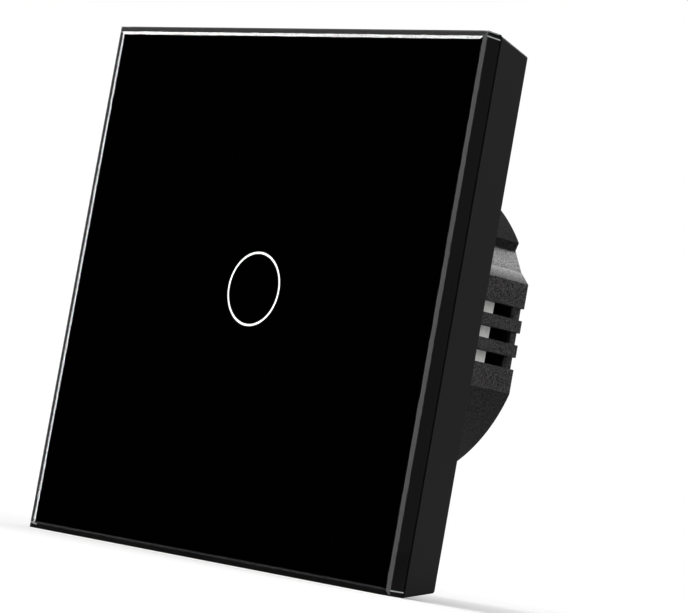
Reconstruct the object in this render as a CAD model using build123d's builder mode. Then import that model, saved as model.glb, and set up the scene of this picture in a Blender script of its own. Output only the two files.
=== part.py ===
"""Touch light switch: a glass panel on a base plate, with a round housing that goes into the wall box.

The origin is the centre of the wall's surface, midway between the two box screws.
+X is to the right as the user sees it, +Y goes into the wall and +Z is up. Sizes are in millimetres.
A value whose name ends in _front or _back is a place along Y, and the front of a piece is its lower Y.
"""

from build123d import *
import os
from math import pi, sin, sqrt

os.makedirs("parts", exist_ok=True)

# Glass, print and indicator ring
panel_size = 86.0
panel_drop = 0.8
glass_thickness = 3.0
bevel_width = 0.84
bevel_depth = 0.12
arris_width = 0.5
arris_depth = 0.03
print_thickness = 0.1
ring_diameter = 11.7
ring_line = 0.35

# Tape and moulded frame of the panel
tape_thickness = 0.2
tape_inset = 0.6
tape_width = 5.0
frame_depth = 7.7
frame_draw = 1.4
frame_wall = 2.0
frame_skin = 1.4
frame_corner = 0.5
frame_rib_height = 0.8
frame_rib_width = 1.2
frame_rib_margin = 1.2
wall_gap = 0.3

# Pegs of the frame and their sockets in the base plate
peg_inset = 5.5
peg_width = 3.0
peg_clearance = 0.1
peg_end_gap = 0.4
peg_tip_chamfer = 0.4
socket_wall = 1.6
socket_floor = 0.6

# Base plate
base_gap = 1.1
base_thickness = 2.6
base_corner = 3.0
rim_height = 2.2
rim_wall = 1.4
box_screw_spacing = 60.0
box_slot_width = 4.2
box_slot_length = 7.0
box_pad_margin = 1.6
box_pad_depth = 0.6
window_radius = 15.0

# Rear housing
housing_radius = 26.1
housing_flat_depth = 1.6
housing_depth = 27.45
housing_wall = 1.8
housing_floor = 1.8
housing_edge = 0.5
seat_depth = 0.8
seat_clearance = 0.1

# Relief above each flat, with a sloping step below and an undercut lip above, and the vents in each flat
relief_height = 6.7
relief_step = 1.9
relief_start = 5.0
relief_deep = 0.45
relief_shallow = 1.2
relief_undercut = 1.35
vent_count = 3
vent_height = 2.0
vent_pitch = 4.0
vent_start = 8.0
vent_bar = 2.0
vent_notch = 1.2

# Four posts that the power board lies on, two of which take the screws from the base plate
post_width = 5.0
post_inset = 2.8
spigot_radius = 2.3
spigot_clearance = 0.2
housing_screw_radius = 1.1
housing_screw_head_radius = 2.3
housing_screw_length = 9.0
thread_clearance = 0.05
screw_slot_share = 1.4

# Touch board and what stands on it
touch_board_thickness = 1.0
touch_board_corner = 3.0
touch_board_lift = 1.6
board_post_step = 4.6
board_post_inset = 3.2
board_post_width = 4.4
board_screw_radius = 0.8
board_screw_head_radius = 1.7
board_screw_head_height = 0.9
board_screw_length = 3.0
print_clearance = 0.15
guide_width = 2.0
guide_foot_height = 0.85
guide_foot_width = 1.2
guide_foot_count = 3
frame_window_clearance = 4.0
lamp_length = 1.6
lamp_width = 0.8
lamp_height = 0.7
spring_radius = 3.1
spring_wire = 0.5
chip_length = 4.9
chip_width = 3.9
chip_height = 1.1
chip_gap = 0.15
chip_legs = 4
chip_leg_width = 0.4
chip_leg_reach = 0.9
chip_leg_thickness = 0.2
chip_x = 14.0
chip_z = -10.0

# Pin strip between the two boards
pin_count = 6
pin_pitch = 2.0
pin_size = 0.5
pin_clearance = 0.05
socket_length_margin = 1.4
socket_width = 2.4
socket_height = 3.8
pin_row_z = -8.0

# Power board
power_board_thickness = 1.6
power_board_gap = 1.0
power_board_back = 2.6

# Relay
relay_width = 12.7
relay_length = 20.0
relay_back_gap = 2.55
relay_wall = 0.7
relay_corner_gap = 0.4
relay_base_height = 2.5
relay_rail = 0.5
relay_fit = 0.05
relay_corner = 0.6
iron_thickness = 1.2
core_radius = 1.6
pole_radius = 2.4
pole_height = 0.7
bobbin_radius = 4.2
bobbin_side_gap = 0.35
bobbin_flange = 0.8
bobbin_wall = 0.6
bobbin_bore_clearance = 0.1
winding_thickness = 1.6
armature_width = 8.0
armature_thickness = 1.0
armature_gap = 0.45
armature_tip = 1.5
armature_head_room = 2.05
hinge_gap = 0.15
contact_end_gap = 3.7
contact_radius = 1.0
rivet_height = 1.7
fixed_contact_height = 0.5
closing_angle = 3.0
closed_gap = 0.1
blade_thickness = 0.2
blade_width = 5.0
blade_end_margin = 0.4
strip_thickness = 0.8
strip_width = 4.0
strip_gap = 0.8
bend_radius = 0.8

# Supply parts on the power board
filter_capacitor_radius = 5.0
filter_capacitor_height = 16.0
filter_capacitor_gap = 1.2
output_capacitor_radius = 4.0
output_capacitor_height = 12.0
output_capacitor_x = -4.5
output_capacitor_gap = 2.5
capacitor_edge = 0.5
film_length = 10.0
film_width = 4.4
film_height = 8.2
film_corner = 0.7
film_x = -0.5
film_z = -8.6
fuse_radius = 1.6
fuse_length = 8.0
fuse_cap = 1.8
fuse_cap_wall = 0.2
fuse_lift = 0.2
fuse_x = 0.0
fuse_edge_gap = 4.1
varistor_radius = 3.4
varistor_width = 3.0
varistor_lift = 0.3
varistor_x = -15.5
varistor_z = -8.0
rectifier_length = 7.0
rectifier_width = 6.0
rectifier_height = 3.3
rectifier_x = 5.2
rectifier_gap = 2.7
core_length = 13.0
core_height = 12.0
core_width = 6.0
core_leg = 3.4
core_side = 1.6
transformer_x = -2.4
transformer_wall = 0.6
transformer_fit = 0.1
transformer_flange_reach = 1.9

# Radio receiver
radio_length = 18.0
radio_height = 12.0
radio_thickness = 1.0
radio_edge_gap = 2.6
shield_length = 9.0
shield_height = 7.0
shield_thickness = 1.6
antenna_length = 11.2
antenna_radius = 2.1
antenna_bore = 1.5

# Terminals: the cage rises along its screw and clamps the wire against a fixed bar
terminal_pitch = 10.4
block_width = 21.6
block_height = 10.6
block_rim_gap = 2.8
block_wall = 1.2
block_lid = 0.9
block_inset = 0.5
block_clearance = 0.15
recess_wall = 1.5
cage_width = 5.2
cage_length = 5.0
cage_wall = 0.8
cage_corner = 0.4
cage_floor = 1.0
cage_nut = 1.4
cage_clearance = 0.15
cage_end_gap = 0.3
cage_travel = 2.0
cage_over_travel = 0.5
wire_radius = 1.65
bar_thickness = 1.0
bar_width = 3.2
bar_gap = 0.1
screw_radius = 1.2
screw_clearance = 0.05
screw_head_radius = 2.2
screw_head_height = 1.5
screw_head_clearance = 0.15
screw_slot_width = 0.6
screw_slot_depth = 0.7
screw_sink = 0.7
collar_height = 0.9
terminal_rise = 5.0

overrun = 1.0

# Depths of the panel's layers, from the wall forwards
frame_back = -wall_gap
frame_front = frame_back - frame_depth
tape_front = frame_front - tape_thickness
print_front = tape_front - print_thickness
glass_front = print_front - glass_thickness
frame_inside = frame_front + frame_skin
frame_back_size = panel_size - 2 * frame_draw

# Base plate and touch board
base_size = frame_back_size - 2 * frame_wall - 2 * base_gap
base_front = -base_thickness
touch_board_back = base_front - touch_board_lift
touch_board_front = touch_board_back - touch_board_thickness
peg_place = base_size / 2 - peg_inset
box_screw_places = [(-box_screw_spacing / 2, 0), (box_screw_spacing / 2, 0)]
guide_radius = ring_diameter / 2
guide_front = tape_front + print_clearance
guide_back = touch_board_front - guide_foot_height

# Housing
housing_front = -seat_depth
housing_half_width = housing_radius - housing_flat_depth
relief_bottom = sqrt(housing_radius**2 - housing_half_width**2)
relief_top = relief_bottom + relief_height
housing_inner_radius = housing_radius - housing_wall
housing_inside = housing_half_width - housing_wall
floor_front = housing_depth - housing_floor
housing_screw_head_height = housing_screw_head_radius - housing_screw_radius
post_place = (housing_inner_radius - post_inset) / sqrt(2)
post_places = [(post_place, post_place), (-post_place, -post_place)]
board_post_place = post_place + board_post_step
board_post_places = [(-board_post_place, board_post_place), (board_post_place, -board_post_place)]
touch_board_size = 2 * (board_post_place + board_post_inset)
power_board_front = power_board_back - power_board_thickness
power_board_radius = housing_inner_radius - power_board_gap
power_board_half_width = housing_inside - power_board_gap

# Relay, standing on the power board beside the right-hand vents, with its corners clear of the round wall
relay_height = floor_front - power_board_back - relay_back_gap
relay_corner_reach = housing_inner_radius - relay_corner_gap
relay_x = sqrt(relay_corner_reach**2 - (relay_length / 2) ** 2) - relay_width / 2
relay_back = power_board_back + relay_height
relay_base_back = power_board_back + relay_base_height
relay_inner_width = relay_width - 2 * relay_wall
relay_inner_length = relay_length - 2 * relay_wall
yoke_z = -relay_inner_length / 2 + relay_fit
yoke_floor_back = relay_base_back + iron_thickness
coil_z = yoke_z + iron_thickness + bobbin_side_gap + bobbin_radius
contact_z = relay_inner_length / 2 - contact_end_gap
armature_stack = pole_height + armature_gap + armature_thickness + armature_head_room
bobbin_length = relay_back - yoke_floor_back - armature_stack
bobbin_back = yoke_floor_back + bobbin_length
core_back = bobbin_back + pole_height
armature_front = core_back + armature_gap
armature_back = armature_front + armature_thickness
yoke_back = armature_front - hinge_gap
contact_reach = contact_z + contact_radius - (yoke_z + iron_thickness / 2)
rivet_front = armature_back - rivet_height
closed_rivet = rivet_front - contact_reach * sin(closing_angle * pi / 180)
fixed_contact_back = closed_rivet - closed_gap

# Radio board and fuse, near the upper and lower edges of the power board
radio_z = power_board_radius - radio_edge_gap
output_capacitor_z = radio_z - output_capacitor_gap - output_capacitor_radius
rectifier_z = radio_z - rectifier_gap - rectifier_width / 2
fuse_z = fuse_edge_gap - power_board_radius

# Terminals, measured up from the block's foot and forwards from its back
block_bottom = block_rim_gap - housing_radius
block_top = block_bottom + block_height
terminal_z = block_bottom + terminal_rise
block_back = housing_depth - block_inset
head_back = block_back - screw_sink
head_front = head_back - screw_head_height
collar_back = head_front - screw_clearance
chamber_back = collar_back - collar_height
cage_back = chamber_back - cage_over_travel - cage_travel
bar_back = cage_back - cage_nut - bar_gap
bar_front = bar_back - bar_thickness
cage_inside = bar_front - 2 * wire_radius
cage_front = cage_inside - cage_floor
chamber_front = cage_front - cage_end_gap
block_front = chamber_front - block_wall
recess_front = block_front
recess_top = block_top + block_clearance
recess_half_width = block_width / 2 + block_clearance
wire_depth = (bar_front + cage_inside) / 2
cage_bottom = terminal_z - cage_length / 2
cage_top = terminal_z + cage_length / 2
chamber_top = block_top - block_lid
bar_top = chamber_top - bar_gap
chamber_bottom = cage_bottom - cage_clearance
terminal_sides = (-terminal_pitch / 2, terminal_pitch / 2)


def across(depth):
    """The plane across the switch at this depth, seen from the front. Extruding goes forwards."""
    return Plane.XZ.offset(-depth)


def panel_across(depth):
    """The same, but centred on the glass panel, which hangs a little lower than the housing."""
    return Plane(origin=(0, depth, -panel_drop), x_dir=(1, 0, 0), z_dir=(0, -1, 0))


def rim_x(height):
    """How far out the round wall of the housing lies at this height."""
    return sqrt(housing_radius**2 - height**2)


def housing_outline(grow):
    """Draws the housing's outline, or one larger all round: a circle with two flats."""
    Circle(housing_radius + grow)
    Rectangle(2 * (housing_half_width + grow), 2 * (housing_radius + grow), mode=Mode.INTERSECT)


def box_between(low, high, mode=Mode.ADD):
    """Adds a box between two corners to the sub-part that is being made, or cuts it away."""
    middle = [(a + b) / 2 for a, b in zip(low, high)]
    with Locations(Location(middle)):
        Box(*[b - a for a, b in zip(low, high)], mode=mode)


def rod_between(x, z, front, back, radius, mode=Mode.ADD):
    """Adds a round rod that runs straight back at this place, or cuts it away."""
    with Locations(Location((x, (front + back) / 2, z))):
        Cylinder(radius, back - front, rotation=(90, 0, 0), mode=mode)


def screws(places, front, radius, length, head_radius, head_height, countersunk):
    """Adds like screws, driven in from the front, with their heads' outer faces at this depth."""
    back_aligned = (Align.CENTER, Align.CENTER, Align.MAX)
    slot_width = head_radius / 3
    with Locations(across(front)):
        with Locations(*places):
            if countersunk:
                Cone(radius, head_radius, head_height, align=back_aligned)
            else:
                Cylinder(head_radius, head_height, align=back_aligned)
            Cylinder(radius, head_height + length, align=back_aligned)
            for turn in (0, 90):
                Box(
                    screw_slot_share * head_radius,
                    slot_width,
                    head_height / 2,
                    rotation=(0, 0, turn),
                    align=back_aligned,
                    mode=Mode.SUBTRACT,
                )


# Glass panel: a plain slab whose front edge has a polished bevel and a finer facet inside it
with BuildPart() as glass_panel:
    bevel_back = glass_front + arris_depth + bevel_depth
    with BuildSketch(panel_across(print_front)):
        Rectangle(panel_size, panel_size)
    extrude(amount=print_front - bevel_back)
    bevel_inner = panel_size - 2 * bevel_width
    with BuildSketch(panel_across(bevel_back)):
        Rectangle(panel_size, panel_size)
    with BuildSketch(panel_across(glass_front + arris_depth)):
        Rectangle(bevel_inner, bevel_inner)
    loft()
    face_size = bevel_inner - 2 * arris_width
    with BuildSketch(panel_across(glass_front + arris_depth)):
        Rectangle(bevel_inner, bevel_inner)
    with BuildSketch(panel_across(glass_front)):
        Rectangle(face_size, face_size)
    loft()

# Black print on the back of the glass, open where the ring shows through
with BuildPart() as back_print:
    with BuildSketch(across(tape_front)):
        with Locations((0, -panel_drop)):
            Rectangle(panel_size, panel_size)
        Circle((ring_diameter + ring_line) / 2, mode=Mode.SUBTRACT)
        Circle((ring_diameter - ring_line) / 2)
    extrude(amount=print_thickness)

# White ring that fills the window in the print
with BuildPart() as indicator_ring:
    with BuildSketch(across(tape_front)):
        Circle((ring_diameter + ring_line) / 2)
        Circle((ring_diameter - ring_line) / 2, mode=Mode.SUBTRACT)
    extrude(amount=print_thickness)

# Tape frame between the print and the moulded frame
with BuildPart() as panel_tape:
    tape_size = panel_size - 2 * tape_inset
    with BuildSketch(panel_across(frame_front)):
        Rectangle(tape_size, tape_size)
        Rectangle(tape_size - 2 * tape_width, tape_size - 2 * tape_width, mode=Mode.SUBTRACT)
    extrude(amount=tape_thickness)

# Panel frame: a drawn-in tray that carries the glass and plugs onto the base with four pegs
with BuildPart() as panel_frame:
    with BuildSketch(panel_across(frame_front)):
        RectangleRounded(panel_size, panel_size, frame_corner)
    with BuildSketch(panel_across(frame_back)):
        RectangleRounded(frame_back_size, frame_back_size, frame_corner)
    loft()
    inside_back_size = frame_back_size - 2 * frame_wall
    inside_front_size = inside_back_size + 2 * frame_draw * (frame_depth - frame_skin) / frame_depth
    with BuildSketch(panel_across(frame_inside)):
        Rectangle(inside_front_size, inside_front_size)
    with BuildSketch(panel_across(frame_back)):
        Rectangle(inside_back_size, inside_back_size)
    loft(mode=Mode.SUBTRACT)
    window = guide_radius + guide_width / 2 + frame_window_clearance
    rib_inside = 2 * (board_post_place + frame_rib_margin) + board_post_width
    rib_outside = rib_inside + 2 * frame_rib_width
    with BuildSketch(across(frame_inside + frame_rib_height)):
        Rectangle(rib_outside, rib_outside)
        Rectangle(rib_inside, rib_inside, mode=Mode.SUBTRACT)
        Circle(window + frame_rib_width)
    extrude(amount=frame_rib_height)
    with BuildSketch(across(frame_inside + frame_rib_height)):
        Circle(window)
    extrude(amount=frame_skin + frame_rib_height, mode=Mode.SUBTRACT)
    peg_back = -socket_floor - peg_end_gap
    with BuildSketch(panel_across(peg_back)):
        with GridLocations(2 * peg_place, 2 * peg_place, 2, 2):
            Rectangle(peg_width, peg_width)
    extrude(amount=peg_back - frame_inside)
    peg_tips = panel_frame.faces().filter_by(Axis.Y).group_by(Axis.Y)[-2]
    chamfer(peg_tips.edges(), peg_tip_chamfer)

# Base plate: screwed to the wall box, with the housing behind it and the touch board on it
with BuildPart() as base_plate:
    with BuildSketch(panel_across(0)):
        RectangleRounded(base_size, base_size, base_corner)
    extrude(amount=base_thickness)
    with BuildSketch(panel_across(base_front)):
        rim_inside = base_size - 2 * rim_wall
        socket_inside = peg_width + 2 * peg_clearance
        RectangleRounded(base_size, base_size, base_corner)
        RectangleRounded(rim_inside, rim_inside, base_corner - rim_wall, mode=Mode.SUBTRACT)
        with GridLocations(2 * peg_place, 2 * peg_place, 2, 2):
            Rectangle(socket_inside + 2 * socket_wall, socket_inside + 2 * socket_wall)
    extrude(amount=rim_height)
    with BuildSketch(across(base_front)):
        with GridLocations(2 * board_post_place, 2 * board_post_place, 2, 2):
            Rectangle(board_post_width, board_post_width)
    extrude(amount=touch_board_lift)
    with BuildSketch(panel_across(-socket_floor)):
        with GridLocations(2 * peg_place, 2 * peg_place, 2, 2):
            Rectangle(socket_inside, socket_inside)
    extrude(amount=base_thickness + rim_height, mode=Mode.SUBTRACT)
    with BuildSketch(across(base_front + box_pad_depth)):
        with Locations(*box_screw_places):
            pad_margin = 2 * box_pad_margin
            Rectangle(box_slot_length + pad_margin, box_slot_width + pad_margin)
    extrude(amount=box_pad_depth, mode=Mode.SUBTRACT)
    with BuildSketch(across(0)):
        Circle(window_radius)
        with Locations(*box_screw_places):
            SlotOverall(box_slot_length, box_slot_width)
    extrude(amount=base_thickness, mode=Mode.SUBTRACT)
    with BuildSketch(across(0)):
        housing_outline(seat_clearance)
    extrude(amount=seat_depth, mode=Mode.SUBTRACT)
    with Locations(across(base_front)):
        with Locations(*post_places):
            bore = housing_screw_radius + thread_clearance
            CounterSinkHole(bore, housing_screw_head_radius + thread_clearance, base_thickness)
    board_bore_back = touch_board_front + board_screw_length + thread_clearance
    with BuildSketch(across(board_bore_back)):
        with Locations(*board_post_places):
            Circle(board_screw_radius + thread_clearance)
    extrude(amount=board_bore_back - touch_board_back, mode=Mode.SUBTRACT)

# Rear housing: the round can in the wall box, with flats, vents, reliefs and a recess for the terminals
with BuildPart() as rear_housing:
    with BuildSketch(across(housing_depth)):
        housing_outline(0)
    extrude(amount=housing_depth - housing_front)
    step_top = relief_bottom + relief_step
    deep_x = rim_x(relief_top) - relief_deep
    shallow_x = rim_x(step_top) - relief_shallow
    for side in (1, -1):
        with BuildSketch(across(housing_depth)):
            Polygon(
                (side * housing_radius, relief_top),
                (side * rim_x(relief_top), relief_top),
                (side * deep_x, relief_top - relief_undercut),
                (side * shallow_x, step_top),
                (side * housing_half_width, relief_bottom),
                (side * housing_radius, relief_bottom),
                align=None,
            )
        extrude(amount=housing_depth - relief_start, mode=Mode.SUBTRACT)
    chamfer(rear_housing.faces().sort_by(Axis.Y)[-1].edges(), housing_edge)
    with BuildSketch(across(floor_front)):
        Circle(housing_inner_radius)
        Rectangle(2 * housing_inside, 2 * housing_inner_radius, mode=Mode.INTERSECT)
    extrude(amount=floor_front - housing_front, mode=Mode.SUBTRACT)
    with BuildSketch(across(floor_front)):
        with GridLocations(2 * post_place, 2 * post_place, 2, 2):
            Rectangle(post_width, post_width)
    extrude(amount=floor_front - power_board_back)
    with BuildSketch(across(power_board_back)):
        with Locations(*post_places):
            Circle(spigot_radius)
    extrude(amount=power_board_back - housing_front)
    with BuildSketch(across(floor_front)):
        shroud_top = recess_top + recess_wall
        with Locations((0, (shroud_top - housing_radius) / 2)):
            Rectangle(2 * (recess_half_width + recess_wall), shroud_top + housing_radius)
        Circle((housing_radius + housing_inner_radius) / 2, mode=Mode.INTERSECT)
    extrude(amount=floor_front - recess_front + recess_wall)
    box_between(
        (-recess_half_width, recess_front, -housing_radius - overrun),
        (recess_half_width, housing_depth + overrun, recess_top),
        mode=Mode.SUBTRACT,
    )
    for x in terminal_sides:
        reach = bar_width / 2 + bar_gap
        box_between(
            (x - reach, recess_front - recess_wall - overrun, bar_top - bar_thickness - bar_gap),
            (x + reach, recess_front + overrun, bar_top + bar_gap),
            mode=Mode.SUBTRACT,
        )
    screw_end = base_front + housing_screw_head_height + housing_screw_length
    with BuildSketch(across(screw_end + overrun)):
        with Locations(*post_places):
            Circle(housing_screw_radius + thread_clearance)
    extrude(amount=screw_end + overrun - housing_front, mode=Mode.SUBTRACT)
    for vent in range(vent_count):
        middle = (vent - (vent_count - 1) / 2) * vent_pitch
        low, high = middle - vent_height / 2, middle + vent_height / 2
        for side in (1, -1):
            inner, notch, outer = housing_inside - overrun, housing_half_width - vent_notch, housing_radius
            through = sorted((side * inner, side * outer))
            shallow = sorted((side * notch, side * outer))
            box_between(
                (through[0], vent_start, low),
                (through[1], housing_depth - vent_bar, high),
                mode=Mode.SUBTRACT,
            )
            box_between(
                (shallow[0], vent_start, low),
                (shallow[1], housing_depth + overrun, high),
                mode=Mode.SUBTRACT,
            )

# Screws that draw the housing onto the base plate
with BuildPart() as housing_screws:
    screws(
        post_places,
        base_front,
        housing_screw_radius,
        housing_screw_length,
        housing_screw_head_radius,
        housing_screw_head_height,
        countersunk=True,
    )

# Touch board on two screw posts and two plain rests
with BuildPart() as touch_board:
    with BuildSketch(across(touch_board_back)):
        RectangleRounded(touch_board_size, touch_board_size, touch_board_corner)
        with Locations(*board_post_places):
            Circle(board_screw_radius + thread_clearance, mode=Mode.SUBTRACT)
    extrude(amount=touch_board_thickness)

# Pan-head screws of the touch board
with BuildPart() as board_screws:
    screws(
        board_post_places,
        touch_board_front - board_screw_head_height,
        board_screw_radius,
        board_screw_length,
        board_screw_head_radius,
        board_screw_head_height,
        countersunk=False,
    )

# Light guide: a clear ring on three feet, which brings the lamps' light to the indicator ring
with BuildPart() as light_guide:
    with BuildSketch(across(guide_back)):
        Circle(guide_radius + guide_width / 2)
        Circle(guide_radius - guide_width / 2, mode=Mode.SUBTRACT)
    extrude(amount=guide_back - guide_front)
    with BuildSketch(across(touch_board_front)):
        with PolarLocations(guide_radius, guide_foot_count):
            Rectangle(guide_foot_width, guide_foot_width)
    extrude(amount=guide_foot_height)

# Status lamps under the light guide, each midway between two of its feet
with BuildPart() as status_lamps:
    with BuildSketch(across(touch_board_front)):
        with PolarLocations(guide_radius, guide_foot_count, start_angle=180 / guide_foot_count):
            Rectangle(lamp_width, lamp_length)
    extrude(amount=lamp_height)

# Touch spring: the sleeve that its turns fill, which carries the finger's capacitance to the board
with BuildPart() as touch_spring:
    with BuildSketch(across(touch_board_front)):
        Circle(spring_radius + spring_wire / 2)
        Circle(spring_radius - spring_wire / 2, mode=Mode.SUBTRACT)
    extrude(amount=touch_board_front - guide_front)

# Touch chip with bent legs along two sides
with BuildPart() as touch_chip:
    chip_back = touch_board_front - chip_gap
    box_between(
        (chip_x - chip_width / 2, chip_back - chip_height, chip_z - chip_length / 2),
        (chip_x + chip_width / 2, chip_back, chip_z + chip_length / 2),
    )
    leg_middle = chip_back - chip_height / 2
    leg_foot = touch_board_front - chip_leg_thickness / 2
    for side in (1, -1):
        for leg in range(chip_legs):
            root = chip_x + side * (chip_width / 2 - chip_leg_thickness)
            knee = chip_x + side * (chip_width / 2 + chip_leg_reach / 2)
            toe = chip_x + side * (chip_width / 2 + chip_leg_reach)
            low = chip_z + ((leg + 1 / 2) / chip_legs - 1 / 2) * chip_length - chip_leg_width / 2
            with BuildSketch(Plane.XY.offset(low)):
                with BuildLine():
                    Polyline((root, leg_middle), (knee, leg_middle), (knee, leg_foot), (toe, leg_foot))
                trace(line_width=chip_leg_thickness)
            extrude(amount=chip_leg_width)

# Pin strip from the power board, and its socket on the back of the touch board
pin_offsets = [(pin - (pin_count - 1) / 2) * pin_pitch for pin in range(pin_count)]
pin_places = [(x, pin_row_z) for x in pin_offsets]
with BuildPart() as link_pins:
    with BuildSketch(across(power_board_front)):
        with Locations(*pin_places):
            Rectangle(pin_size, pin_size)
    extrude(amount=power_board_front - touch_board_back - pin_clearance)

with BuildPart() as link_socket:
    with BuildSketch(across(touch_board_back + socket_height)):
        with Locations((0, pin_row_z)):
            Rectangle((pin_count - 1) * pin_pitch + pin_size + 2 * socket_length_margin, socket_width)
        with Locations(*pin_places):
            hole = pin_size + 2 * pin_clearance
            Rectangle(hole, hole, mode=Mode.SUBTRACT)
    extrude(amount=socket_height)

# Power board on the shoulders of the housing's posts
with BuildPart() as power_board:
    with BuildSketch(across(power_board_back)):
        Circle(power_board_radius)
        Rectangle(2 * power_board_half_width, 2 * power_board_radius, mode=Mode.INTERSECT)
        with Locations(*post_places):
            Circle(spigot_radius + spigot_clearance, mode=Mode.SUBTRACT)
    extrude(amount=power_board_thickness)

# Relay base: a block inside the cover, on a thin flange that the cover's rim stands on
with BuildPart() as relay_base:
    with BuildSketch(across(power_board_back + relay_rail)):
        with Locations((relay_x, 0)):
            RectangleRounded(relay_width, relay_length, relay_corner)
    extrude(amount=relay_rail)
    box_between(
        (relay_x - relay_inner_width / 2 + relay_fit, power_board_back, -relay_inner_length / 2 + relay_fit),
        (relay_x + relay_inner_width / 2 - relay_fit, relay_base_back, relay_inner_length / 2 - relay_fit),
    )

with BuildPart() as relay_cover:
    with BuildSketch(across(relay_back)):
        with Locations((relay_x, 0)):
            RectangleRounded(relay_width, relay_length, relay_corner)
    extrude(amount=relay_height - relay_rail)
    chamfer(relay_cover.faces().sort_by(Axis.Y)[-1].edges(), relay_corner / 2)
    box_between(
        (relay_x - relay_inner_width / 2, power_board_back, -relay_inner_length / 2),
        (relay_x + relay_inner_width / 2, relay_back - relay_wall, relay_inner_length / 2),
        mode=Mode.SUBTRACT,
    )

# Iron circuit of the relay: an L-shaped yoke with the core staked into its floor
with BuildPart() as relay_yoke:
    with BuildSketch(Plane.YZ.offset(relay_x - armature_width / 2)):
        with BuildLine():
            FilletPolyline(
                (relay_base_back + iron_thickness / 2, coil_z + bobbin_radius),
                (relay_base_back + iron_thickness / 2, yoke_z + iron_thickness / 2),
                (yoke_back, yoke_z + iron_thickness / 2),
                radius=iron_thickness / 2 + bend_radius / 2,
            )
        trace(line_width=iron_thickness)
    extrude(amount=armature_width)
    with BuildSketch(across(yoke_floor_back)):
        with Locations((relay_x, coil_z)):
            Circle(core_radius + relay_fit)
    extrude(amount=iron_thickness, mode=Mode.SUBTRACT)

with BuildPart() as relay_core:
    with BuildSketch(across(core_back)):
        with Locations((relay_x, coil_z)):
            Circle(pole_radius)
    extrude(amount=pole_height)
    with BuildSketch(across(bobbin_back)):
        with Locations((relay_x, coil_z)):
            Circle(core_radius)
    extrude(amount=bobbin_back - relay_base_back)

# Coil of the relay: a flanged bobbin with its winding
bobbin_bore = core_radius + bobbin_bore_clearance
bobbin_tube = bobbin_bore + bobbin_wall
with BuildPart() as relay_bobbin:
    for back in (bobbin_back, yoke_floor_back + bobbin_flange):
        with BuildSketch(across(back)):
            with Locations((relay_x, coil_z)):
                Circle(bobbin_radius)
        extrude(amount=bobbin_flange)
    with BuildSketch(across(bobbin_back)):
        with Locations((relay_x, coil_z)):
            Circle(bobbin_tube)
    extrude(amount=bobbin_length)
    with BuildSketch(across(bobbin_back)):
        with Locations((relay_x, coil_z)):
            Circle(bobbin_bore)
    extrude(amount=bobbin_length, mode=Mode.SUBTRACT)

with BuildPart() as relay_winding:
    with BuildSketch(across(bobbin_back - bobbin_flange)):
        with Locations((relay_x, coil_z)):
            Circle(bobbin_tube + winding_thickness)
            Circle(bobbin_tube, mode=Mode.SUBTRACT)
    extrude(amount=bobbin_length - 2 * bobbin_flange)

# Armature: an iron plate that tips on the yoke's edge, with a blade that carries the moving contact
with BuildPart() as relay_armature:
    box_between(
        (relay_x - armature_width / 2, armature_front, yoke_z),
        (relay_x + armature_width / 2, armature_back, coil_z + pole_radius + armature_tip),
    )

with BuildPart() as contact_blade:
    blade_top = contact_z + contact_radius + blade_end_margin
    box_between(
        (relay_x - blade_width / 2, armature_back, yoke_z + blade_end_margin),
        (relay_x + blade_width / 2, armature_back + blade_thickness, blade_top),
    )
    with BuildSketch(across(armature_back)):
        with Locations((relay_x, contact_z)):
            Circle(contact_radius)
    extrude(amount=rivet_height)

with BuildPart() as fixed_contact:
    tab_middle = fixed_contact_back - fixed_contact_height - strip_thickness / 2
    strip_z = contact_z + contact_radius + strip_gap + strip_thickness / 2
    with BuildSketch(Plane.YZ.offset(relay_x - strip_width / 2)):
        with BuildLine():
            FilletPolyline(
                (relay_base_back, strip_z),
                (tab_middle, strip_z),
                (tab_middle, contact_z - contact_radius - blade_end_margin),
                radius=bend_radius,
            )
        trace(line_width=strip_thickness)
    extrude(amount=strip_width)
    with BuildSketch(across(fixed_contact_back)):
        with Locations((relay_x, contact_z)):
            Circle(contact_radius)
    extrude(amount=fixed_contact_height)


def can_profile(x, radius, height):
    """Draws half the outline of a round can that stands on the power board, with a sloping edge."""
    foot, top = power_board_back, power_board_back + height
    Polygon(
        (x, foot),
        (x + radius, foot),
        (x + radius, top - capacitor_edge),
        (x + radius - capacitor_edge, top),
        (x, top),
        align=None,
    )


# Supply parts that stand on the power board
with BuildPart() as filter_capacitor:
    filter_x = -(housing_inside - filter_capacitor_gap - filter_capacitor_radius)
    with BuildSketch(Plane.XY):
        can_profile(filter_x, filter_capacitor_radius, filter_capacitor_height)
    revolve(axis=Axis((filter_x, 0, 0), (0, 1, 0)))

with BuildPart() as output_capacitor:
    with BuildSketch(Plane.XY.offset(output_capacitor_z)):
        can_profile(output_capacitor_x, output_capacitor_radius, output_capacitor_height)
    revolve(axis=Axis((output_capacitor_x, 0, output_capacitor_z), (0, 1, 0)))

with BuildPart() as film_capacitor:
    with BuildSketch(across(power_board_back + film_height)):
        with Locations((film_x, film_z)):
            RectangleRounded(film_length, film_width, film_corner)
    extrude(amount=film_height)

with BuildPart() as bridge_rectifier:
    with BuildSketch(across(power_board_back + rectifier_height)):
        with Locations((rectifier_x, rectifier_z)):
            Rectangle(rectifier_length, rectifier_width)
    extrude(amount=rectifier_height)
    marked_corner = bridge_rectifier.edges().filter_by(Axis.Y).sort_by(Axis.X)[-1]
    chamfer(marked_corner, rectifier_width / 4)

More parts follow.
